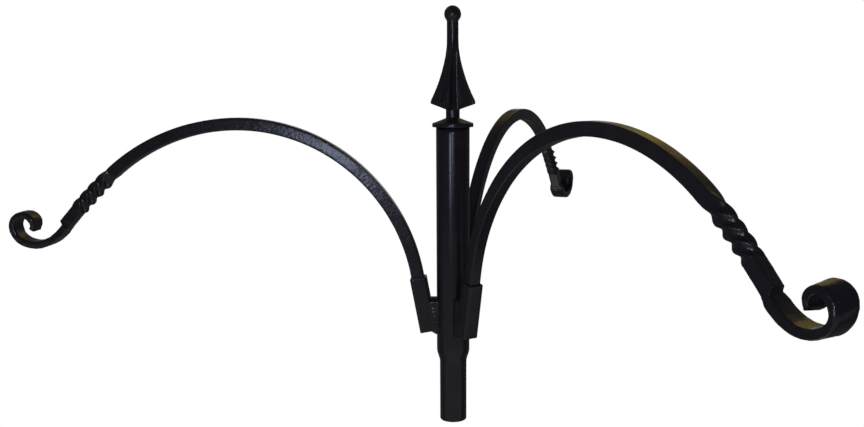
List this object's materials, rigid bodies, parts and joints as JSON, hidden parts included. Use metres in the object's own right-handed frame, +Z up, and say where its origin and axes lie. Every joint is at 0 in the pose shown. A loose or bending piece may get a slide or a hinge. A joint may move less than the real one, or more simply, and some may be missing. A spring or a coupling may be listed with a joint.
{
  "type": "pole top hanger",
  "caption": "Black steel pole-top hanger: arched square-bar arms with a twist and a scroll hook stand in welded sockets on a tube with a round spigot and a finned ball finial.",
  "frame": {"origin": "on the tube's axis, at the top of the plain spigot, where the swage starts and the pole's mouth stops", "axes": "+Z up along the tube; -X along the left arm; -Y toward the side that the picture was taken from; the right arm points between +X and -Y, and the back arm mostly along +Y"},
  "size_m": [0.6743, 0.7842, 0.4016],
  "materials": {
    "tube_coat": "gloss black powder coat on drawn tube",
    "casting_coat": "gloss black powder coat on a casting",
    "bar_coat": "gloss black powder coat on hammered bar",
    "weld_coat": "gloss black powder coat on weld metal"
  },
  "bodies": {
    "root": {"centre_tube": "tube_coat", "finial": "casting_coat", "socket_left": "tube_coat", "stop_plate_left": "tube_coat", "socket_weld_left": "weld_coat", "arm_left": "bar_coat", "socket_right": "tube_coat", "stop_plate_right": "tube_coat", "socket_weld_right": "weld_coat", "arm_right": "bar_coat", "socket_back": "tube_coat", "stop_plate_back": "tube_coat", "socket_weld_back": "weld_coat", "arm_back": "bar_coat"}
  },
  "joints": []
}
